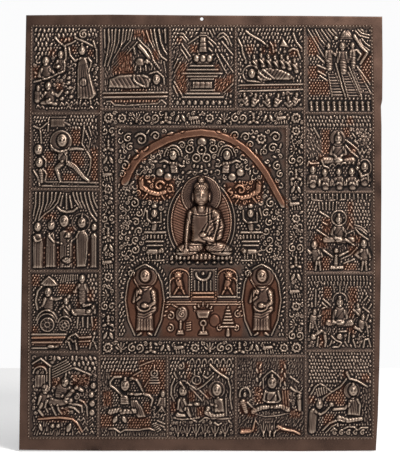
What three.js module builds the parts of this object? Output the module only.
// A repousse votive plaque: one sheet of copper, raised from behind into rope-bordered scenes
// round a large seated figure, with a flat margin and one nail hole at the top.
// Millimetres, +Z up, +X to the right seen from the front. The front faces -Y, the back of the
// flat margin lies at y = 0, and the origin is the middle of the nail hole on that back.
import * as THREE from "three";

// Driving dimensions, millimetres
const square = 1.404; // the drawing is set out on the sheet in squares of this size
const thickness = 1.0; // gauge of the sheet
const nailHole = { col: 201.8, row: 19, across: 4.6, sides: 8 };
const rope = { width: 3.4, rise: 1.7 }; // the twisted borders between the scenes
const figureRise = { head: 4.2, body: 3.4, limb: 2.6, halo: 1.3, leaf: 2.2, line: 2.2 };
const bodyBase = thickness + 3; // limbs and heads start no higher than this on a small figure
const hollow = { across: 74, tall: 106, rings: 6, steps: 36, clear: 1.2 }; // behind the large figure
const easing = 4; // how often the relief is eased, which rounds its edges over
const facetStray = 24; // cubic millimetres of relief that one facet may leave out or add

// The outline of the hand-cut sheet, in squares: column to the right, row down
const outline = [
  [26.2, 15.2], [110, 14.6], [205, 15.4], [300, 15.8], [382.2, 16.6],
  [382.6, 62], [382.3, 100], [380.9, 106], [381.5, 126], [381.4, 200], [380.8, 280], [379.6, 356],
  [377.9, 415], [375.9, 450.4], [300, 451], [200, 450.3], [100, 450.6], [19.2, 449.8],
  [20.4, 360], [22.1, 250], [24.1, 130],
];

// Frame lines of the scenes, in squares: each scene is a four-cornered field between ropes
const leftEdge = [[31.6, 26], [30.6, 113.6], [29.8, 189], [29, 271], [28.8, 352], [28.8, 438]];
const rightEdge = [[371.5, 26.3], [373.2, 113], [373.6, 192], [374.2, 273], [373.6, 351], [373, 438.4]];
const leftPost = [[100.5, 26], [100.8, 113.6], [100.4, 189.5], [99.9, 271], [99.4, 352], [97.8, 438]];
const rightPost = [[304.5, 26.2], [304.3, 113], [304.8, 192], [305.1, 273], [305.5, 351], [305.8, 438.3]];
const topBars = [[169.8, 26.1], [235.5, 26.2]];
const outerFrame = [[100.8, 109.3], [304.3, 109.3], [305.4, 356], [99.3, 356]];
const topBarFeet = [[169.8, 109.3], [235.5, 109.3]];
const bottomBars = [[167.5, 356], [235.8, 356]];
const bottomBarFeet = [[167.5, 438.1], [235.8, 438.2]];
const innerFrame = [[116, 127], [286.5, 127], [286.8, 339.5], [116, 339]];

// The relief is worked out on a raster of the sheet, and every motif is pressed out of it in turn
const raster = { step: 0.75, col: 14, row: 10, across: 500, down: 592 };
const height = new Float64Array(raster.across * raster.down).fill(thickness);

function eachCell(col0, row0, col1, row1, visit) {
  const i0 = Math.max(0, Math.floor((col0 - raster.col) / raster.step));
  const i1 = Math.min(raster.across - 1, Math.ceil((col1 - raster.col) / raster.step));
  const j0 = Math.max(0, Math.floor((row0 - raster.row) / raster.step));
  const j1 = Math.min(raster.down - 1, Math.ceil((row1 - raster.row) / raster.step));
  for (let j = j0; j <= j1; j++)
    for (let i = i0; i <= i1; i++)
      visit(raster.col + i * raster.step, raster.row + j * raster.step, j * raster.across + i);
}

// Raises what lies inside a shape: distance is negative inside, edge is how far in the rounding goes
function press(col0, row0, col1, row1, distance, edge, rise, base = bodyBase) {
  eachCell(col0, row0, col1, row1, (x, y, k) => {
    const d = distance(x, y);
    if (d >= 0) return;
    const t = Math.min(1, -d / edge);
    const lifted = Math.min(height[k], base) + rise * Math.sqrt(1 - (1 - t) ** 2);
    height[k] = Math.max(height[k], lifted);
  });
}

function dome(x, y, rx, ry, rise, turn = 0, base = bodyBase) {
  const r = Math.max(rx, ry);
  const [c, s] = [Math.cos(THREE.MathUtils.degToRad(turn)), Math.sin(THREE.MathUtils.degToRad(turn))];
  const distance = (px, py) => {
    const u = (px - x) * c + (py - y) * s;
    const v = (py - y) * c - (px - x) * s;
    return (Math.hypot(u / rx, v / ry) - 1) * Math.min(rx, ry);
  };
  press(x - r, y - r, x + r, y + r, distance, Math.min(rx, ry), rise, base);
}

// A round-backed line through the points, from one radius to another
function stroke(points, radius, rise, endRadius = radius, base = bodyBase, edge = 0) {
  const most = Math.max(radius, endRadius);
  const last = points.length - 2;
  const cols = points.map((p) => p[0]);
  const rows = points.map((p) => p[1]);
  const distance = (px, py) => {
    let best = Infinity;
    for (let k = 0; k <= last; k++) {
      const [ax, ay] = points[k];
      const [bx, by] = points[k + 1];
      const run = (bx - ax) ** 2 + (by - ay) ** 2;
      const t = THREE.MathUtils.clamp(((px - ax) * (bx - ax) + (py - ay) * (by - ay)) / run, 0, 1);
      const r = THREE.MathUtils.lerp(radius, endRadius, (k + t) / (last + 1));
      best = Math.min(best, Math.hypot(px - ax - t * (bx - ax), py - ay - t * (by - ay)) - r);
    }
    return best;
  };
  press(Math.min(...cols) - most, Math.min(...rows) - most, Math.max(...cols) + most,
    Math.max(...rows) + most, distance, edge || most, rise, base);
}

// A flat-topped raised shape with rounded sides
function slab(points, edge, rise, base = bodyBase) {
  const cols = points.map((p) => p[0]);
  const rows = points.map((p) => p[1]);
  const distance = (px, py) => {
    let best = Infinity;
    let inside = false;
    points.forEach(([ax, ay], k) => {
      const [bx, by] = points[(k + 1) % points.length];
      const run = (bx - ax) ** 2 + (by - ay) ** 2;
      const t = THREE.MathUtils.clamp(((px - ax) * (bx - ax) + (py - ay) * (by - ay)) / run, 0, 1);
      best = Math.min(best, Math.hypot(px - ax - t * (bx - ax), py - ay - t * (by - ay)));
      if (ay > py !== by > py && px < ((bx - ax) * (py - ay)) / (by - ay) + ax) inside = !inside;
    });
    return inside ? -best : best;
  };
  press(Math.min(...cols), Math.min(...rows), Math.max(...cols), Math.max(...rows), distance, edge, rise, base);
}

function arcPoints(x, y, rx, ry, from, to) {
  const steps = Math.max(4, Math.round(Math.abs(to - from) / 24));
  return Array.from({ length: steps + 1 }, (_, k) => {
    const a = THREE.MathUtils.degToRad(from + ((to - from) * k) / steps);
    return [x + rx * Math.cos(a), y - ry * Math.sin(a)];
  });
}

function arc(x, y, rx, ry, from, to, radius, rise, base = bodyBase) {
  stroke(arcPoints(x, y, rx, ry, from, to), radius, rise, radius, base);
}

function ring(x, y, r, width, rise, base = bodyBase) {
  const distance = (px, py) => Math.abs(Math.hypot(px - x, py - y) - r) - width;
  press(x - r - width, y - r - width, x + r + width, y + r + width, distance, width, rise, base);
}

// Small figures and what surrounds them

function halo(x, y, r) {
  press(x - r, y - r, x + r, y + r, (px, py) => Math.hypot(px - x, py - y) - r, 1, figureRise.halo);
}

function head(x, y, r, rise = figureRise.head, base = bodyBase + 0.5) {
  dome(x, y, r * 0.85, r * 1.05, rise, 0, base);
}

// A figure seen whole: head, trunk down to the hips, and a line of joints for each limb
function figure(headAt, hipsAt, r, limbs = []) {
  const [hx, hy] = headAt;
  const [bx, by] = hipsAt;
  const length = Math.hypot(bx - hx, by - hy);
  const shoulders = [hx + ((bx - hx) / length) * r * 1.55, hy + ((by - hy) / length) * r * 1.55];
  stroke([shoulders, hipsAt], r * 1.15, figureRise.body, r);
  limbs.forEach((limb) => stroke(limb, r * 0.48, figureRise.limb, r * 0.36));
  head(hx, hy, r);
}

// A cross-legged figure seen from the front, its knees width apart
function seated(x, y, r, width, arms = []) {
  const lap = y + r * 4.1;
  stroke([[x, y + r * 1.6], [x, lap - r * 0.6]], r * 1.2, figureRise.body, r * 1.1);
  for (const side of [-1, 1])
    stroke([[x + side * (width / 2 - r * 0.6), lap], [x - side * r * 0.3, lap]], r * 0.8, figureRise.body, r * 0.6);
  arms.forEach((arm) => stroke(arm, r * 0.45, figureRise.limb, r * 0.34));
  head(x, y, r);
  dome(x, y - r * 1.1, r * 0.45, r * 0.45, figureRise.limb);
}

// A robed figure standing in a row: a skirt with a trunk and a head over it
function robed(x, y, foot, r, width) {
  slab([[x - width * 0.35, y + r], [x + width * 0.35, y + r], [x + width / 2, foot], [x - width / 2, foot]],
    width * 0.4, figureRise.body);
  head(x, y, r);
}

// Rows of leaf clusters that fill a corner of a scene
function canopy(col0, row0, col1, row1, size = 5.2) {
  const rows = Math.max(1, Math.round((row1 - row0) / (size * 1.5)));
  const count = Math.max(1, Math.round((col1 - col0) / (size * 1.25)));
  for (let j = 0; j < rows; j++)
    for (let i = 0; i < count; i++) {
      const x = col0 + ((i + 0.5 + (j % 2) * 0.3) * (col1 - col0)) / count;
      const y = row0 + ((j + 0.5) * (row1 - row0)) / rows;
      dome(x, y, size * 0.5, size * 0.8, figureRise.leaf, (i + j) % 2 ? 20 : -20);
    }
}

function crags(col0, row0, col1, row1, size = 7) {
  const count = Math.max(1, Math.round((col1 - col0) / size));
  const rows = Math.max(1, Math.round((row1 - row0) / size));
  for (let j = 0; j < rows; j++)
    for (let i = 0; i < count; i++) {
      const x = col0 + ((i + 0.5) * (col1 - col0)) / count;
      const y = row0 + ((j + 0.5) * (row1 - row0)) / rows;
      stroke([[x - size * 0.4, y + size * 0.3], [x, y - size * 0.3], [x + size * 0.4, y + size * 0.3]],
        1.1, figureRise.line);
    }
}

function bumpRow(from, to, count, rx, ry, rise) {
  for (let k = 0; k < count; k++) {
    const f = count > 1 ? k / (count - 1) : 0;
    dome(from[0] + (to[0] - from[0]) * f, from[1] + (to[1] - from[1]) * f, rx, ry, rise);
  }
}

function umbrella(x, y, rx, ry) {
  const distance = (px, py) => Math.max((Math.hypot((px - x) / rx, (py - y) / ry) - 1) * ry, py - y);
  press(x - rx, y - ry, x + rx, y, distance, ry, 3.2);
}

function wheel(x, y, r) {
  ring(x, y, r - 1.2, 1.4, 2.6);
  dome(x, y, r * 0.34, r * 0.34, 2.4);
}

function scroll(x, y, r, rise = 2.6) {
  ring(x, y, r * 0.72, r * 0.34, rise);
}

// A standing horse; way is 1 when it faces right
function horse(x, y, size, way) {
  const at = (u, v) => [x + way * size * u, y + size * v];
  stroke([at(-0.9, 0), at(0.8, -0.1)], size * 0.45, figureRise.body, size * 0.4);
  stroke([at(0.8, -0.2), at(1.35, -1.05)], size * 0.38, 3.0, size * 0.26);
  stroke([at(1.35, -1.05), at(1.95, -0.7)], size * 0.28, 3.0, size * 0.2);
  for (const leg of [-0.75, 0.7]) stroke([at(leg, 0.2), at(leg + 0.1, 1.35)], size * 0.24, 2.4, size * 0.18);
}

function ladder(top, foot, topWidth, footWidth, rungs) {
  for (const side of [-0.5, 0.5])
    stroke([[top[0] + side * topWidth, top[1]], [foot[0] + side * footWidth, foot[1]]], 1.0, figureRise.line);
  for (let k = 0; k < rungs; k++) {
    const f = (k + 0.5) / rungs;
    const x = THREE.MathUtils.lerp(top[0], foot[0], f);
    const y = THREE.MathUtils.lerp(top[1], foot[1], f);
    const half = THREE.MathUtils.lerp(topWidth, footWidth, f) / 2;
    stroke([[x - half, y], [x + half, y]], 0.8, 1.8);
  }
}

// Top row of scenes, left to right

function birthScene() {
  canopy(35, 30, 98, 44);
  canopy(35, 45, 53, 56);
  stroke([[65, 74], [66, 58], [64, 46]], 2.0, 2.6, 1.5);
  stroke([[64, 46], [57, 38]], 1.3, 2.4);
  stroke([[77, 38], [90, 42], [96, 50], [97, 64]], 1.3, 2.4);
  slab([[78, 70], [89, 70], [97, 96], [92, 101], [77, 100]], 3, 3.2);
  figure([82, 50], [85, 73], 4.5, [[[78, 58], [70, 56], [68, 47]], [[88, 59], [93, 66], [90, 72]]]);
  figure([60, 55], [60, 70], 3.6);
  figure([46, 62], [47, 78], 4.5, [[[42, 70], [40, 76], [45, 79]], [[51, 70], [60, 74]]]);
  stroke([[35, 83], [48, 79], [65, 73]], 1.3, 2.2);
  figure([48, 86], [50, 100], 4.2, [[[53, 93], [62, 91]]]);
  stroke([[42, 103], [56, 104]], 2, 2.8);
  bumpRow([69, 80], [69, 96], 3, 2.3, 2.6, 3.0);
  bumpRow([76, 108], [97, 108], 5, 2, 1.8, 1.8);
}

function dreamScene() {
  for (let k = 0; k < 4; k++) {
    stroke([[106 + 5.6 * k, 30], [104 + 4.6 * k, 50], [104 + 2 * k, 70]], 1.8, 2.4, 1.0);
    stroke([[147 + 5.2 * k, 30], [153 + 3.4 * k, 46], [163.5, 62], [165, 88]], 1.7, 2.4, 1.0);
  }
  stroke([[137, 38], [118, 70]], 1.2, 2.4);
  stroke([[137, 38], [144, 48], [161, 72]], 1.2, 2.4);
  halo(141, 58, 9.5);
  dome(140, 60, 6.5, 5.6, 3.8);
  dome(146, 57, 3.2, 3.4, 4.2);
  slab([[106, 80], [118, 76], [150, 78], [163, 84], [160, 90], [108, 90]], 3.5, 3.4);
  stroke([[108, 86], [120, 82], [150, 80]], 2.8, 2.8, 3.4);
  stroke([[147, 82], [139, 86], [134, 77]], 1.6, 2.6, 1.2);
  halo(157, 79, 7);
  head(156.5, 79.5, 4.6);
  for (const y of [93, 98.5, 104]) stroke([[104, y], [167, y]], 1.4, 2.2);
}

function relicMound() {
  stroke([[203, 28], [203, 35]], 2.6, 3.0, 3.0);
  slab([[199.5, 37], [206.5, 37], [207.2, 52], [198.8, 52]], 2.4, 3.2);
  slab([[192, 54], [214, 54], [209, 63.5], [197, 63.5]], 3, 3.6);
  for (const [y, a, b] of [[67, 189, 214], [71.5, 183, 221], [76.5, 185, 218], [80, 191, 214]])
    stroke([[a, y], [b, y]], 1.7, 3.0);
  slab([[192, 82], [212, 82], [212, 88.5], [192, 88.5]], 1.8, 3.0);
  for (const [y, a, b] of [[91.5, 188, 216], [96.5, 183, 223]]) stroke([[a, y], [b, y]], 1.7, 3.0);
  bumpRow([180, 103], [226, 103], 8, 2.7, 3.4, 3.0);
  stroke([[182, 45], [190, 57]], 1.3, 2.8);
  stroke([[181, 60], [176, 67], [174, 75]], 1.4, 2.8);
  stroke([[173, 81], [177, 89], [182, 97]], 1.4, 2.6);
  scroll(226, 38, 5.2);
  scroll(216, 34, 4);
  stroke([[217, 52], [222, 60], [226, 73]], 1.3, 2.8);
  stroke([[221, 53], [228, 62], [233, 73]], 1.3, 2.6);
  stroke([[232, 78], [226, 86], [224, 95]], 1.3, 2.4);
  crags(173, 31, 190, 45);
  crags(219, 46, 234, 54);
}

function passingAway() {
  canopy(239, 30, 273, 41);
  canopy(286, 30, 302, 40);
  stroke([[246, 33], [258, 39], [270, 48]], 1.2, 2.6);
  stroke([[238, 38], [242, 48], [246, 63]], 1.7, 2.8, 1.3);
  umbrella(283, 46, 8, 7);
  for (let k = 0; k < 8; k++) figure([249 + 7 * k, 56 + (k % 2)], [249.5 + 7 * k, 66], 3);
  halo(250, 74.5, 7);
  slab([[256, 70], [282, 68], [298, 76], [297, 81.5], [256, 81.5]], 3.5, 3.8);
  head(251.5, 74, 4.6);
  for (const y of [85.5, 90.5]) stroke([[238, y], [302, y]], 1.6, 2.4);
  for (const x of [244, 256, 267, 279, 294]) figure([x, 97.5], [x, 105.5], 3.4);
}

function heavenlyStairs() {
  for (let k = 0; k < 5; k++)
    stroke([[308 + 6 * k, 30], [315 + 6 * k, 43 - k], [321 + 6 * k, 56 - 5 * k]], 1.3, 2.3);
  umbrella(346, 39, 7, 7);
  scroll(364, 34, 5);
  scroll(364, 48, 4.4);
  figure([329, 47], [330, 67], 3.6, [[[333, 54], [335, 60]]]);
  figure([342, 46], [343, 69], 4.2, [[[337, 54], [336, 62]], [[347, 54], [349, 61]]]);
  figure([353, 46], [356, 65], 3.4, [[[357, 52], [360, 58]]]);
  ladder([331.5, 72], [339.5, 97], 8, 14, 5);
  ladder([344.5, 71], [356, 97.5], 7.5, 13, 5);
  ladder([355.5, 66], [369, 91], 5.5, 6, 4);
  stroke([[308, 69], [315, 64], [321, 68]], 1.4, 2.4);
  stroke([[310, 77], [318, 73], [327, 82]], 1.4, 2.6);
  dome(317, 89, 6.5, 5.5, 2.6);
  bumpRow([310, 103], [369, 103], 10, 2.6, 3.6, 3.4);
}

// Left column, downwards

function archeryContest() {
  slab([[51, 118.5], [66, 118.5], [66, 127.5], [51, 127.5]], 2, 2.6);
  stroke([[36, 119], [44, 125], [49, 118]], 1.4, 2.4);
  stroke([[34, 131], [48, 131]], 1.3, 2.2);
  canopy(68, 116, 98, 127);
  halo(61, 141, 11.5);
  slab([[57, 147], [69, 147], [68, 160], [62, 163], [57, 158]], 3, 3.4);
  stroke([[56.5, 150], [50, 148], [45, 141]], 1.8, 2.6, 1.4);
  stroke([[70, 149], [84, 149.5]], 1.8, 2.6, 1.3);
  stroke([[62, 162], [56, 171], [60, 182]], 2.6, 3.0, 1.9);
  stroke([[66, 162], [76, 172], [88, 181]], 3.1, 3.0, 2.2);
  head(62.5, 139, 5.4);
  dome(62.5, 133.2, 2.3, 2.3, 2.6);
  stroke([[86, 127], [85, 139], [86.5, 150], [91, 160], [89, 173]], 1.3, 3.0);
  figure([39, 149], [40, 160], 4.2);
  figure([39, 165], [40, 178], 4.4, [[[44, 172], [49, 173]]]);
  figure([50, 160], [51, 172], 3);
  figure([94, 139], [95, 154], 3);
  stroke([[34, 184.5], [98, 184.5]], 1.4, 2.0);
}

function weddingScene() {
  for (let k = 0; k < 7; k++) stroke([[36 + 10 * k, 193], [40 + 8.8 * k, 205]], 2.4, 2.4, 1.6);
  stroke([[57, 207], [46, 213], [32, 219]], 1.5, 2.4);
  stroke([[77, 207], [88, 215], [98, 221]], 1.5, 2.4);
  halo(81, 222, 8);
  robed(52, 224, 268, 4.6, 15);
  robed(67, 222, 268, 4.8, 14);
  robed(82, 222, 268, 4.8, 16);
  figure([37.5, 226], [37, 262], 4);
  figure([94, 226], [95, 262], 3.6);
  dome(51, 217, 2.2, 3.4, 3.0);
  stroke([[48, 233], [51, 242], [63, 243]], 1.7, 2.6, 1.3, bodyBase + 1);
  stroke([[84, 233], [78, 241], [69, 241]], 1.7, 2.6, 1.3, bodyBase + 1);
  dome(67, 236, 3, 3.6, 2.6, 0, bodyBase + 1);
  dome(66.5, 260, 5, 3.2, 2.6, 0, bodyBase + 1);
}

function chariotRide() {
  umbrella(49, 287, 9, 10);
  stroke([[41, 287], [37, 298], [38, 309]], 1.1, 2.4);
  for (let k = 0; k < 5; k++) {
    const a = THREE.MathUtils.degToRad(20 + 35 * k);
    stroke([[66 + 3 * Math.cos(a), 284 - 3 * Math.sin(a)], [66 + 10 * Math.cos(a), 285 - 11 * Math.sin(a)]],
      1.2, 2.0, 0.9);
  }
  figure([49, 293], [49, 307], 4.2, [[[45, 300], [42, 306]], [[53, 299], [57, 304]]]);
  figure([67, 298], [66, 310], 3.8, [[[70, 304], [76, 305]]]);
  figure([82, 279], [83, 302], 3.8, [[[79, 286], [75, 290]], [[86, 286], [90, 292]]]);
  figure([94, 283], [94, 296], 3.2);
  horse(85, 313, 6.5, 1);
  arc(47.5, 323, 10.5, 11, 10, 170, 1.3, 2.4);
  wheel(47, 325, 8);
  wheel(64, 326, 6.2);
  stroke([[32, 337.5], [99, 337.5]], 2.2, 2.2);
  stroke([[38, 347], [59, 346]], 2.2, 2.8);
  bumpRow([68, 345], [94, 345], 4, 2.6, 3.0, 3.0);
}

// Bottom row of scenes, left to right

function greatDeparture() {
  slab([[33, 363], [41, 357], [51, 364], [49, 367], [33, 367]], 1.6, 2.8);
  arc(40, 373, 6, 6, 0, 180, 1.2, 2.4);
  stroke([[53, 377], [73, 366]], 1.5, 2.8);
  stroke([[73, 366], [84, 370], [92, 376]], 1.5, 2.8);
  canopy(75, 357, 98, 367);
  canopy(53, 357, 70, 365);
  horse(61, 402, 9, 1);
  figure([65, 380.5], [61, 396], 4.2, [[[69, 387], [73, 390]], [[62, 397], [66, 405]]]);
  figure([46, 389], [42, 405], 4.2, [[[49, 396], [54, 397]], [[42, 404], [40, 414]]]);
  for (const y of [385, 396, 406]) figure([93, y], [93.5, y + 7], 3.1);
  stroke([[38, 420], [48, 416.5], [58, 416], [70, 417], [78, 424], [82, 433]], 1.6, 2.4);
  scroll(52.5, 426, 4);
  scroll(60.5, 426, 4);
  crags(85, 424, 97, 435, 6);
}

function hairCutting() {
  canopy(100, 358, 124, 371);
  slab([[149, 384], [160, 384], [158.5, 379], [150.5, 379]], 1.4, 2.6);
  dome(154.5, 374.5, 4.6, 4.8, 3.4);
  stroke([[154.5, 370], [154.5, 364.5]], 1.4, 3.0, 0.8);
  slab([[119, 391], [132, 391], [130, 405], [119, 405]], 3, 3.4);
  stroke([[120, 393], [113, 390], [111, 383], [115, 377], [121, 376]], 1.6, 2.6, 1.2);
  scroll(130.5, 377.5, 3.6);
  stroke([[131, 393], [138, 395], [143, 391], [152, 395], [151, 406]], 1.6, 2.6, 1.2);
  stroke([[111, 409], [126, 406]], 3, 3.2, 2.4);
  stroke([[138, 410], [123, 410]], 3, 3.2, 2.4);
  head(125, 384, 5);
  dome(125, 378.6, 2.2, 2.2, 2.6);
  bumpRow([107, 419.5], [144, 419.5], 6, 2.8, 3.2, 2.4);
  figure([162, 391], [162, 404], 3.6, [[[162, 404], [160, 411]]]);
  figure([105, 396], [104, 410], 3.2);
  crags(101, 426, 165, 435, 8);
}

function twoTeachers() {
  canopy(170, 358, 234, 366);
  stroke([[210, 364], [219, 370], [228, 379]], 1.3, 2.8);
  stroke([[190, 383], [196, 390], [204, 384], [206, 368]], 1.2, 2.4);
  stroke([[183, 396], [183, 408]], 5.2, 3.4, 4.8);
  stroke([[176, 414], [192, 413]], 3, 3.2, 2.4);
  stroke([[187, 397], [192, 402], [196, 402.5]], 1.6, 2.6, 1.2);
  dome(196.5, 404.5, 3.4, 2.4, 3.0);
  head(183, 389, 4.4);
  dome(181, 383, 2, 3, 2.6);
  halo(216.5, 389, 9);
  stroke([[221, 397], [222, 409]], 5.4, 3.4, 5.0);
  stroke([[207, 414], [226, 416]], 3.2, 3.2, 2.6);
  stroke([[216, 398], [210, 404], [203, 403]], 1.6, 2.6, 1.2);
  head(218, 388.5, 4.6);
  dome(218, 383.5, 2, 2, 2.6);
  stroke([[171, 420], [233, 420]], 1.3, 2.2);
  crags(171, 424, 233, 435, 8.5);
}

function meditation() {
  canopy(238, 358, 258, 365);
  canopy(285, 358, 303, 365);
  for (const x of [258, 284]) dome(x, 376, 3.4, 9, 2.6);
  halo(271.5, 380.5, 9);
  dome(271.5, 369, 2.2, 3.4, 2.4);
  seated(272, 382, 4.6, 34, [[[265, 391], [263, 399], [269, 403]], [[279, 391], [281, 399], [275, 403]]]);
  figure([244, 393], [245, 408], 3.6, [[[241, 398], [238, 392]], [[249, 398], [253, 393]]]);
  dome(299, 394, 3.4, 2.8, 3.2);
  stroke([[298, 397], [300, 408], [292, 412]], 2.6, 2.8, 2.0);
  stroke([[238, 418], [303, 418]], 1.3, 2.0);
  dome(249, 430, 6, 3.8, 3.2);
  stroke([[253, 428], [255, 421]], 1.6, 2.8);
  stroke([[278, 427], [288, 430], [299, 434]], 2.6, 2.8, 1.6);
}

function milkOffering() {
  canopy(308, 355, 371, 379, 5.6);
  stroke([[346, 371], [355, 380], [367, 386]], 1.4, 3.0);
  stroke([[326, 372], [331, 384], [329, 396]], 1.4, 2.8);
  halo(351, 390, 7.8);
  stroke([[356, 399], [355, 411]], 5.6, 3.4, 5.0);
  stroke([[340, 417], [360, 418]], 3.4, 3.2, 2.8);
  stroke([[350, 401], [344, 408], [336, 409]], 1.7, 2.6, 1.3);
  head(352.5, 391, 4.6);
  dome(352.5, 386, 2, 2, 2.6);
  figure([319, 404], [315, 418], 4, [[[322, 410], [327, 406], [332, 405]]]);
  stroke([[308, 424], [320, 425]], 2.2, 2.8);
  stroke([[309, 430], [325, 430], [337, 421], [348, 424], [371, 424]], 1.6, 2.6);
  crags(338, 428, 371, 436, 8);
}

// Right column, downwards

function firstSermon() {
  canopy(307, 116, 371, 129);
  canopy(307, 132, 320, 156);
  canopy(356, 130, 372, 148);
  halo(337.5, 138.5, 8.8);
  seated(337.5, 139.5, 4.6, 30, [[[331, 149], [331, 156], [336, 157]], [[344, 149], [345, 155], [339, 156]]]);
  stroke([[346, 141], [358, 151.5]], 1.1, 2.6);
  stroke([[345, 145], [357, 157.5]], 1.1, 2.6);
  stroke([[307, 162.5], [319, 163.5]], 1.2, 2.6);
  for (const [x, y, r] of [[312.5, 170, 4], [325, 172, 3.6], [339, 171.5, 3.6], [351, 171, 4], [365, 168, 4.8]])
    figure([x, y], [x, y + 13], r);
}

function temptation() {
  canopy(308, 194, 371, 204, 4.6);
  canopy(307, 208, 318, 226, 4.6);
  canopy(354, 208, 371, 222, 4.6);
  stroke([[320, 211], [328, 216]], 1.2, 3.0);
  stroke([[316.5, 229], [327, 236]], 1.2, 3.0);
  stroke([[354, 228], [366, 238]], 1.2, 3.0);
  halo(338, 217.5, 7.8);
  seated(338, 219, 4.4, 32, [[[332, 229], [331, 235], [335, 238.5]], [[344, 228], [346, 235], [342, 239]]]);
  figure([314, 242], [317, 262], 3.8, [[[309, 250], [306, 249]], [[318, 250], [321, 254]]]);
  figure([335.5, 249], [335, 263], 2.9, [[[323, 249], [331, 255]], [[347, 249], [339, 255]]]);
  stroke([[328, 267], [340, 264]], 2.4, 2.8, 2.0);
  figure([362.5, 242], [363, 262], 4.2, [[[359, 249], [356, 254]], [[367, 250], [368, 256]]]);
}

function awakening() {
  canopy(309, 275, 371, 287, 4.8);
  canopy(308, 289, 321, 303, 4.6);
  canopy(356, 288, 371, 299, 4.6);
  halo(339.5, 301, 9.2);
  seated(340, 303, 4.6, 28, [[[335, 312], [333, 320], [338, 324]], [[346, 312], [347, 319], [341, 323.5]]]);
  figure([314, 311.5], [311, 327], 3, [[[318, 316], [320.5, 314]]]);
  figure([357.5, 305], [359, 315], 2.8);
  figure([363, 317], [361, 328], 3.2, [[[359, 319], [353.5, 310]]]);
  stroke([[362, 303], [370, 312]], 1.2, 2.4);
  dome(313.5, 336.5, 3.2, 3.6, 3.6);
  stroke([[317, 334], [322, 331], [326, 334], [326, 345]], 1.8, 2.8, 1.3);
  arc(340, 338, 7.5, 6, 200, 340, 1.5, 2.6);
  dome(340.5, 337, 3, 3, 3.4);
  stroke([[357, 328], [362, 332], [364, 338]], 2, 3.0, 1.5);
  bumpRow([353, 337], [357.5, 343], 2, 2, 2.2, 3.2);
}

// The band between the two centre frames

function blossom(x, y, r) {
  dome(x, y, r, r, 2.4);
}

function seatedImp(x, y) {
  dome(x, y - 3.5, 2.6, 3.0, 3.2);
  stroke([[x, y + 1], [x, y + 4]], 3.2, 2.8, 3.6);
}

function friezeBand() {
  for (let k = 0; k < 11; k++) {
    const x = 121 + 15.2 * k;
    if (k % 3) blossom(x, 118, 4.2);
    else stroke([[x - 4, 118.5], [x + 4, 117]], 2.8, 2.8);
    if (k % 3) blossom(x, 347.5, 4.2);
    else seatedImp(x, 347.5);
  }
  for (const x of [108.5, 295.5]) {
    for (const y of [118, 347.5]) blossom(x, y, 5);
    for (let k = 0; k < 14; k++) {
      const y = 134 + 15.3 * k;
      if (k % 2) blossom(x, y, 4.2);
      else seatedImp(x, y);
    }
  }
}

// The centre field

function archAndScrolls() {
  stroke([[120, 190], [127, 174], [138, 161], [152, 149], [170, 137], [188, 131.5], [205, 130], [222, 135],
    [240, 146], [252, 156], [263, 167], [273, 179], [283, 194]], 4, 2.4);
  for (const [x, y, r] of [[140, 138.5, 6.2], [155, 137, 4], [130, 148.5, 4.2], [125.5, 167, 4.8], [127, 136, 3.4],
    [122.5, 177, 3.4], [234.5, 135, 3.8], [247, 138, 4.4], [276, 138, 4.8], [271.5, 149.5, 4.6],
    [263.5, 152.5, 3.8], [277.5, 166, 4.6], [280, 177, 3.4], [251, 146, 3.2]]) scroll(x, y, r);
  dome(260, 139, 5.6, 5.6, 2.8);
  dome(219.5, 132, 4, 1.8, 2.4, 25);
  dome(171, 133.5, 4, 1.8, 2.4, -20);
  for (let k = 0; k < 9; k++) {
    const a = THREE.MathUtils.degToRad(168 - 19.5 * k);
    scroll(202.5 + 62 * Math.cos(a), 190 - 49 * Math.sin(a), 4.4);
  }
  for (const [x, y] of [[189.5, 149], [201, 147.5], [212.5, 150], [194.5, 157], [206.5, 157]]) dome(x, y, 3.6, 3.6, 2.8);
  dome(201, 139, 2.6, 5, 2.6);
}

// A winged figure under the arch; side is -1 on the left
function wingedFigure(side) {
  const x = 199.5 + side * 27;
  arc(x, 157, 9, 11, 5, 175, 1.5, 2.6);
  slab([[x - 4, 160.5], [x + 4, 160.5], [x + side + 5, 171], [x + side - 5, 171]], 2.4, 3.0);
  stroke([[x - side * 3, 163], [x - side * 9, 160.5], [x - side * 11.5, 165]], 1.7, 2.8, 1.3);
  stroke([[x + side * 3, 164], [x + side * 9, 165.5], [x + side * 14, 161]], 1.7, 2.8, 1.3);
  dome(x - side * 4, 171, 5, 5, 3.4);
  dome(x + side * 5, 175, 4.2, 4, 3.2);
  head(x, 155.5, 5);
  for (const [u, y, r] of [[20, 166, 4.6], [27, 174, 4.4], [12, 176, 3.8]]) scroll(x + side * u, y, r);
}

function waterBeast(side) {
  const [x, y] = side < 0 ? [157, 188] : [249, 190];
  const at = (u, v) => [x + side * u, y + v];
  stroke([at(18, -10), at(13, 1), at(5, 7), at(-5, 8)], 3.8, 3.6, 3.2, bodyBase + 1);
  scroll(...at(-1, -2), 6.4, 3.2);
  scroll(...at(-12, 1), 4.6, 3.0);
  stroke([at(10, 6), at(14, 12)], 1.7, 2.8, 1.2);
}

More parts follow.
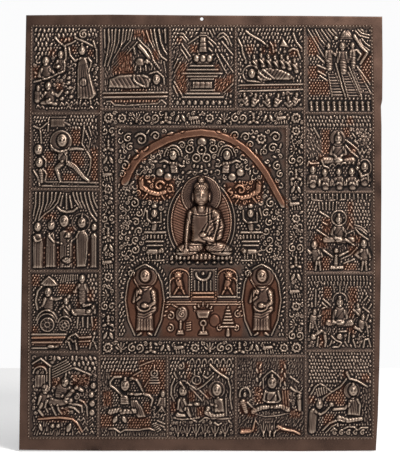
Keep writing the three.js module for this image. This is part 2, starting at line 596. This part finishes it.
// The rearing beasts one over another beside the large figure
function beastTier(side) {
  const x = 201.5 + side * 50;
  const at = (u, y) => [x + side * u, y];
  scroll(...at(17, 201), 4.6);
  scroll(...at(1, 203), 3.6);
  dome(...at(2, 213), 4.2, 3.8, 3.8);
  stroke([at(-6, 211), at(-4, 220), at(2, 223), at(9, 221)], 1.9, 3.0, 1.5);
  stroke([at(1, 226), at(0, 234)], 4, 3.0, 3.4);
  for (const y of [232.5, 245]) stroke([at(-7.5, y), at(7.5, y)], 1.5, 2.8);
  dome(...at(0, 238.7), 4.6, 4.6, 2.8);
  dome(...at(3, 252), 6, 4.4, 3.8);
  dome(...at(-4, 252.5), 3.6, 3.8, 4.0);
  dome(...at(14, 232), 3.6, 4, 3.0);
  stroke([at(12, 237), at(19, 247)], 2.2, 2.8, 1.5);
  for (const [u, y, r] of [[16, 252, 4.4], [23, 241, 3.6], [22, 226, 4], [13, 216, 4]]) scroll(...at(u, y), r);
}

function throne() {
  bumpRow([174, 257.5], [230, 257.5], 11, 2.7, 4.4, 3.4);
  bumpRow([176, 263.2], [227, 263.2], 8, 1.9, 1.9, 3.0);
  stroke([[161, 303.5], [242, 303.5]], 1.8, 2.2);
  slab([[190, 267], [216, 267], [216, 300], [190, 300]], 1.6, 1.6);
  for (const x of [190.3, 215.8]) stroke([[x, 267], [x, 301]], 1.2, 2.0);
  for (const y of [292.5, 298]) stroke([[193, y], [213, y]], 1.5, 2.4);
  for (let k = 0; k < 4; k++) stroke([[195.5 + 4.6 * k, 281], [195.5 + 4.6 * k, 289]], 1.2, 1.8);
  arc(202.4, 273, 7, 7.5, 190, 350, 2, 3.0);
  for (const side of [-1, 1]) {
    const x = 203 + side * 22;
    arc(x, 277, 12, 12, 0, 180, 1.1, 2.0);
    dome(x + side * 2, 275.5, 4, 4.6, 4.2);
    stroke([[x + side, 281], [x - side, 287]], 3.5, 3.4, 3.0);
    stroke([[x - side * 2, 289], [x - side * 5, 296]], 1.7, 3.0, 1.3);
    stroke([[x + side * 2, 289], [x + side * 6, 296]], 1.7, 3.0, 1.3);
  }
}

// A standing follower with staff and bowl in an almond-shaped glory
function follower(x, y) {
  const at = (u, v) => [x + u, y + v];
  stroke([at(-10, 35), at(-17, 20), at(-20, 0), at(-17, -18), at(-11, -30), at(0, -36), at(11, -30), at(17, -18),
    at(20, 0), at(16, 20), at(10, 35)], 1.4, 2.2);
  halo(x + 0.5, y - 23, 12.5);
  slab([at(-9, -10), at(-5, -14), at(7, -14), at(12, -8), at(12, 14), at(8, 16), at(8, 31), at(-8, 31), at(-9, 10)],
    4.5, 4.8, bodyBase + 1);
  stroke([at(-8, -9), at(-11, 1), at(-5, -3)], 2.2, 3.0, 1.7, bodyBase + 2);
  dome(...at(-4.5, -8.5), 2.8, 3.4, 3.0, 0, bodyBase + 2);
  stroke([at(9, -8), at(10, 2), at(4, 5)], 3.0, 3.0, 1.9, bodyBase + 2);
  dome(...at(1.5, 4.5), 4, 3.2, 3.0, 0, bodyBase + 2);
  stroke([at(-4, 33), at(-7, 35)], 2, 2.6, 1.5);
  stroke([at(4, 33), at(7, 35)], 2, 2.6, 1.5);
  head(...at(0.6, -23), 6.4, 5.6, bodyBase + 1.5);
  stroke([at(-11, -20.5), at(-5.2, -11)], 1.0, 2.4, 1.0, bodyBase + 1);
  dome(...at(-12.5, -25.5), 4.2, 4.4, 3.0);
}

function offerings() {
  dome(182, 314, 6.6, 7.6, 3.8, 12);
  stroke([[181, 322], [181, 329]], 1.9, 2.8);
  slab([[176.5, 335], [185.5, 335], [184, 329], [178, 329]], 1.6, 2.8);
  slab([[194, 311], [213, 311], [209.5, 318.5], [197.5, 318.5]], 2, 3.2);
  bumpRow([196, 308], [210, 308], 4, 2.6, 2.8, 3.0);
  dome(203, 323.5, 3.6, 3.6, 3.0);
  slab([[197.5, 335], [208.5, 335], [206, 329], [200, 329]], 1.6, 2.8);
  slab([[227, 306], [229, 306], [234, 325], [222, 325]], 3, 3.2);
  stroke([[220, 327], [236, 327]], 1.8, 2.6);
  stroke([[228, 329], [228, 334]], 2, 2.6);
  dome(215, 324, 4.6, 8, 1.8);
}

// The large seated figure, raised well above everything else
function seatedMaster() {
  const x = 201.6;
  const high = 16; // how high on the trunk the arms and the head may start
  const swell = (points, radius, endRadius, rise, edge = 0) => stroke(points, radius, rise, endRadius, high, edge);
  const almond = (px, py) => (Math.hypot((px - x) / 30.5, (py - 222) / 40) - 1) * 30.5;
  press(x - 31, 181, x + 31, 263, almond, 2.5, 2.6);
  for (let k = 0; k < 17; k++) {
    const a = THREE.MathUtils.degToRad(-24 + 14.2 * k);
    dome(x + 36.8 * Math.cos(a), 222 - 47 * Math.sin(a), 1.9, 2.1, 2.4);
  }
  const disc = (px, py) => Math.hypot(px - 200.8, py - 192) - 20;
  press(180, 171, 222, 213, disc, 1.6, 2.0, bodyBase + 2);
  ring(200.8, 192, 18.4, 1.1, 1.2, bodyBase + 4);
  swell([[187, 250], [206, 248]], 7.5, 6.5, 10);
  swell([[224, 249], [204, 251]], 7.5, 6, 10);
  swell([[202, 216], [202, 240]], 13.5, 11.5, 12, 12);
  swell([[202, 206], [202, 211]], 4, 5, 10);
  swell([[190, 214], [187.5, 228], [187.5, 240], [186, 247]], 4, 2.4, 8);
  swell([[215, 214], [219, 226], [216, 236], [207, 238]], 6, 3, 7);
  dome(205, 237, 4.6, 3.4, 5, 0, high);
  dome(186, 249, 3.6, 2.6, 4, 0, high);
  swell([[200.8, 193], [200.8, 194.5]], 8.2, 7.2, 9, 8);
  swell([[200.8, 186], [200.8, 187]], 7.6, 7.6, 3.5, 6);
  swell([[200.8, 180.5], [200.8, 181]], 4, 4, 5, 4);
  for (const side of [-1, 1]) dome(200.8 + side * 7.6, 194.5, 1.4, 4.2, 3, 0, high);
}

for (const scene of [birthScene, dreamScene, relicMound, passingAway, heavenlyStairs, archeryContest, weddingScene,
  chariotRide, greatDeparture, hairCutting, twoTeachers, meditation, milkOffering, firstSermon, temptation, awakening,
  friezeBand, archAndScrolls]) scene();
for (const side of [-1, 1]) {
  wingedFigure(side);
  waterBeast(side);
  beastTier(side);
}
throne();
follower(144.2, 300);
follower(261.2, 299);
offerings();
seatedMaster();

// The sheet rounds over every edge it is pressed to, so the raster is eased between neighbours
function ease(passes) {
  for (let n = 0; n < passes; n++) {
    const before = height.slice();
    for (let k = raster.across + 1; k < height.length - raster.across - 1; k++) {
      const beside = before[k - 1] + before[k + 1] + before[k - raster.across] + before[k + raster.across];
      height[k] = (before[k] * 2 + beside) / 6;
    }
  }
}
ease(easing);

// Vertices of the sheet, kept once each: x and z from the squares, y from the height
const vertices = [];
const faces = [];
const known = new Map();

function vertex(col, row, rise) {
  const key = [col.toFixed(3), row.toFixed(3), rise > 0 ? "front" : "back"].join();
  if (!known.has(key)) {
    known.set(key, vertices.length);
    vertices.push({ col, row, rise: Math.abs(rise) });
  }
  return known.get(key);
}

const turn = (a, b, c) => (b.col - a.col) * (c.row - a.row) - (b.row - a.row) * (c.col - a.col);

// Adds a triangle of the front or the back, turned to face outwards
function face(a, b, c, side) {
  const clockwise = turn(vertices[a], vertices[b], vertices[c]) > 0;
  faces.push(clockwise === (side === "front") ? [a, c, b] : [a, b, c]);
}

// The four-cornered fields, corners clockwise from the top left
const lerp = ([ax, ay], [bx, by], f) => [ax + (bx - ax) * f, ay + (by - ay) * f];
const [frameTL, frameTR, frameBR, frameBL] = outerFrame;
const [fieldTL, fieldTR, fieldBR, fieldBL] = innerFrame;
const onTop = (col) => [col, frameTL[1]];
const onFoot = (col) => [col, frameBR[1]];
const onLeft = (row) => lerp(frameTL, frameBL, (row - frameTL[1]) / (frameBL[1] - frameTL[1]));
const onRight = (row) => lerp(frameTR, frameBR, (row - frameTR[1]) / (frameBR[1] - frameTR[1]));
const fields = [
  [leftEdge[0], leftPost[0], leftPost[1], leftEdge[1]],
  [leftPost[0], topBars[0], topBarFeet[0], frameTL],
  [topBars[0], topBars[1], topBarFeet[1], topBarFeet[0]],
  [topBars[1], rightPost[0], frameTR, topBarFeet[1]],
  [rightPost[0], rightEdge[0], rightEdge[1], rightPost[1]],
  ...[1, 2, 3].map((k) => [leftEdge[k], leftPost[k], leftPost[k + 1], leftEdge[k + 1]]),
  ...[1, 2, 3].map((k) => [rightPost[k], rightEdge[k], rightEdge[k + 1], rightPost[k + 1]]),
  [leftEdge[4], leftPost[4], leftPost[5], leftEdge[5]],
  [frameBL, bottomBars[0], bottomBarFeet[0], leftPost[5]],
  [bottomBars[0], bottomBars[1], bottomBarFeet[1], bottomBarFeet[0]],
  [bottomBars[1], frameBR, rightPost[5], bottomBarFeet[1]],
  [rightPost[4], rightEdge[4], rightEdge[5], rightPost[5]],
  innerFrame,
  [frameTL, onTop(fieldTL[0]), fieldTL, onLeft(fieldTL[1])],
  [onTop(fieldTL[0]), onTop(fieldTR[0]), fieldTR, fieldTL],
  [onTop(fieldTR[0]), frameTR, onRight(fieldTR[1]), fieldTR],
  [onLeft(fieldTL[1]), fieldTL, fieldBL, onLeft(fieldBL[1])],
  [fieldTR, onRight(fieldTR[1]), onRight(fieldBR[1]), fieldBR],
  [onLeft(fieldBL[1]), fieldBL, onFoot(fieldBL[0]), frameBL],
  [fieldBL, fieldBR, onFoot(fieldBR[0]), onFoot(fieldBL[0])],
  [fieldBR, onRight(fieldBR[1]), frameBR, onFoot(fieldBR[0])],
];
const corners = fields.flat();

// The corners of any field that lie on the line from one point to another, in order
function chain(from, to) {
  const run = Math.hypot(to[0] - from[0], to[1] - from[1]);
  const along = (p) => ((p[0] - from[0]) * (to[0] - from[0]) + (p[1] - from[1]) * (to[1] - from[1])) / run;
  const aside = (p) => Math.abs((p[0] - from[0]) * (to[1] - from[1]) - (p[1] - from[1]) * (to[0] - from[0])) / run;
  const between = corners.filter((p) => aside(p) < 1 && along(p) > 1 && along(p) < run - 1);
  const kept = [from];
  for (const p of [...between.sort((p, q) => along(p) - along(q)), to])
    if (Math.hypot(p[0] - kept.at(-1)[0], p[1] - kept.at(-1)[1]) > 0.01) kept.push(p);
  return kept;
}

// Joins a chain along the crest of a rope to the straight foot line beside it
function slope(crest, footFrom, footTo) {
  const half = Math.floor((crest.length - 1) / 2);
  for (let k = 0; k < crest.length - 1; k++) face(k < half ? footFrom : footTo, crest[k], crest[k + 1], "front");
  face(footFrom, crest[half], footTo, "front");
}

const crestRise = thickness + rope.rise;
const inset = rope.width / 2 / square;
const crestVertices = (points) => points.map(([col, row]) => vertex(col, row, crestRise));

// How much of the relief is left beside the ropes: none at their feet, all of it a square further in
function nearness(quad, x, y) {
  let least = Infinity;
  quad.forEach((a, k) => {
    const b = quad[(k + 1) % 4];
    least = Math.min(least, ((b[0] - a[0]) * (y - a[1]) - (b[1] - a[1]) * (x - a[0])) / Math.hypot(b[0] - a[0], b[1] - a[1]));
  });
  return THREE.MathUtils.clamp(least - 0.3, 0, 1);
}

// Fills a field with triangles: points go in where the facets stray most from the relief
function fillField(quad) {
  const points = quad.map(([col, row]) => ({ col, row, rise: thickness }));
  const triangles = [];
  const cellArea = (raster.step * square) ** 2;
  const reliefAt = (x, y, k) => thickness + (height[k] - thickness) * nearness(quad, x, y);
  const add = (a, b, c) => {
    const [p, q, r] = [a, b, c].map((n) => points[n]);
    const area = turn(p, q, r);
    if (Math.abs(area) < 1e-6) return;
    const worst = { error: 0 };
    let stray = 0;
    eachCell(Math.min(p.col, q.col, r.col), Math.min(p.row, q.row, r.row), Math.max(p.col, q.col, r.col),
      Math.max(p.row, q.row, r.row), (col, row, k) => {
        const here = { col, row };
        const [u, v, w] = [turn(here, q, r) / area, turn(here, r, p) / area, turn(here, p, q) / area];
        if (u < 1e-6 || v < 1e-6 || w < 1e-6) return;
        const rise = reliefAt(col, row, k);
        const error = Math.abs(rise - u * p.rise - v * q.rise - w * r.rise);
        stray += error * cellArea;
        if (error > worst.error) Object.assign(worst, { error, col, row, rise });
      });
    triangles.push({ corners: [a, b, c], worst, stray });
  };
  const roundHolds = ({ corners: [a, b, c] }, { col, row }) => {
    const [p, q, r] = [a, b, c].map((n) => ({ x: points[n].col - col, y: points[n].row - row }));
    const part = (s, t, w) => (s.x * s.x + s.y * s.y) * (t.x * w.y - w.x * t.y);
    const sum = part(p, q, r) + part(q, r, p) + part(r, p, q);
    return sum * Math.sign(turn(points[a], points[b], points[c])) > 1e-9;
  };
  add(0, 1, 2);
  add(0, 2, 3);
  for (;;) {
    const next = triangles.reduce((best, t) => (t.stray > best.stray ? t : best));
    if (next.stray < facetStray) break;
    points.push(next.worst);
    const struck = triangles.filter((t) => roundHolds(t, next.worst));
    const edges = new Map();
    for (const t of struck) {
      triangles.splice(triangles.indexOf(t), 1);
      t.corners.forEach((a, k) => {
        const b = t.corners[(k + 1) % 3];
        if (!edges.delete(b + "," + a)) edges.set(a + "," + b, [a, b]);
      });
    }
    for (const [a, b] of edges.values()) add(a, b, points.length - 1);
  }
  const index = points.map((p) => vertex(p.col, p.row, p.rise));
  for (const t of triangles) face(...t.corners.map((n) => index[n]), "front");
}

for (const quad of fields) {
  const foot = quad.map(([col, row], k) => [col + (k % 3 ? -inset : inset), row + (k < 2 ? inset : -inset)]);
  const footVertices = foot.map(([col, row]) => vertex(col, row, thickness));
  quad.forEach((corner, k) => {
    const crest = crestVertices(chain(corner, quad[(k + 1) % 4]));
    slope(crest, footVertices[k], footVertices[(k + 1) % 4]);
  });
  fillField(foot);
}

// The flat margin between the outer rope and the outline, with the nail hole in it
const asPoints = (list) => list.map(([col, row]) => new THREE.Vector2(col, row));
const hole = Array.from({ length: nailHole.sides }, (_, k) => {
  const a = (2 * Math.PI * k) / nailHole.sides;
  const r = nailHole.across / 2 / square;
  return [nailHole.col + r * Math.cos(a), nailHole.row + r * Math.sin(a)];
});
const worked = [...leftEdge.slice().reverse(), ...rightEdge];
const workedCorners = [leftEdge.at(-1), leftEdge[0], rightEdge[0], rightEdge.at(-1)];
const marginFoot = worked.map(([col, row], k) => {
  const left = k < leftEdge.length;
  const top = k === leftEdge.length - 1 || k === leftEdge.length;
  const foot = k === 0 || k === worked.length - 1;
  return [col + (left ? -inset : inset), row + (top ? -inset : foot ? inset : 0)];
});
worked.forEach((from, k) => {
  const next = (k + 1) % worked.length;
  slope(crestVertices(chain(from, worked[next])), vertex(...marginFoot[k], thickness),
    vertex(...marginFoot[next], thickness));
});

function fillPlate(contour, holes, rise, side) {
  const all = [contour, ...holes].flat();
  const index = all.map(([col, row]) => vertex(col, row, rise));
  for (const [a, b, c] of THREE.ShapeUtils.triangulateShape(asPoints(contour), holes.map(asPoints)))
    face(index[a], index[b], index[c], side);
}

fillPlate(outline, [marginFoot, hole], thickness, "front");

// The back: flat, with a hollow behind the large figure that keeps clear of the front
const backRise = -1e-9; // the back of the margin, told from the front by its sign
function hollowRise(col, row) {
  const reach = 8;
  let least = Infinity;
  eachCell(col - reach, row - reach, col + reach, row + reach, (x, y, k) => {
    if (Math.hypot(x - col, y - row) <= reach) least = Math.min(least, height[k]);
  });
  return -Math.max(1e-9, least - hollow.clear);
}

const hollowRing = (scale) =>
  Array.from({ length: hollow.steps }, (_, k) => {
    const a = (2 * Math.PI * k) / hollow.steps;
    return [201.6 + (hollow.across / 2 / square) * scale * Math.cos(a), 219 + (hollow.tall / 2 / square) * scale * Math.sin(a)];
  });
fillPlate(outline, [hole, hollowRing(1)], backRise, "back");
let ringBefore = hollowRing(1).map(([col, row]) => vertex(col, row, backRise));
for (let n = 1; n < hollow.rings; n++) {
  const ringNow = hollowRing(1 - n / hollow.rings).map(([col, row]) => vertex(col, row, hollowRise(col, row)));
  ringNow.forEach((a, k) => {
    const next = (k + 1) % hollow.steps;
    face(a, ringBefore[k], ringBefore[next], "back");
    face(a, ringBefore[next], ringNow[next], "back");
  });
  ringBefore = ringNow;
}
const middle = vertex(201.6, 219, hollowRise(201.6, 219));
ringBefore.forEach((a, k) => face(middle, a, ringBefore[(k + 1) % hollow.steps], "back"));

// The cut edge of the sheet and the wall of the nail hole
function wall(loop) {
  loop.forEach(([col, row], k) => {
    const [nextCol, nextRow] = loop[(k + 1) % loop.length];
    const [a, b] = [vertex(col, row, thickness), vertex(nextCol, nextRow, thickness)];
    const [c, d] = [vertex(col, row, backRise), vertex(nextCol, nextRow, backRise)];
    faces.push([a, b, d], [a, d, c]);
  });
}
wall(outline);
wall(hole.slice().reverse());

const geometry = new THREE.BufferGeometry();
const places = vertices.flatMap(({ col, row, rise }) => [
  (col - nailHole.col) * square, -rise, (nailHole.row - row) * square,
]);
geometry.setAttribute("position", new THREE.Float32BufferAttribute(places, 3));
geometry.setIndex(faces.flat());
geometry.computeVertexNormals();

const copper = new THREE.MeshStandardMaterial({ color: 0x6b4a3a, roughness: 0.42, metalness: 0.9, flatShading: true });
const sheet = new THREE.Mesh(geometry, copper);
sheet.name = "plaque_sheet";

const plaque = new THREE.Group();
plaque.name = "votive_plaque";
plaque.add(sheet);
console.log(faces.length, "triangles");
export default plaque;
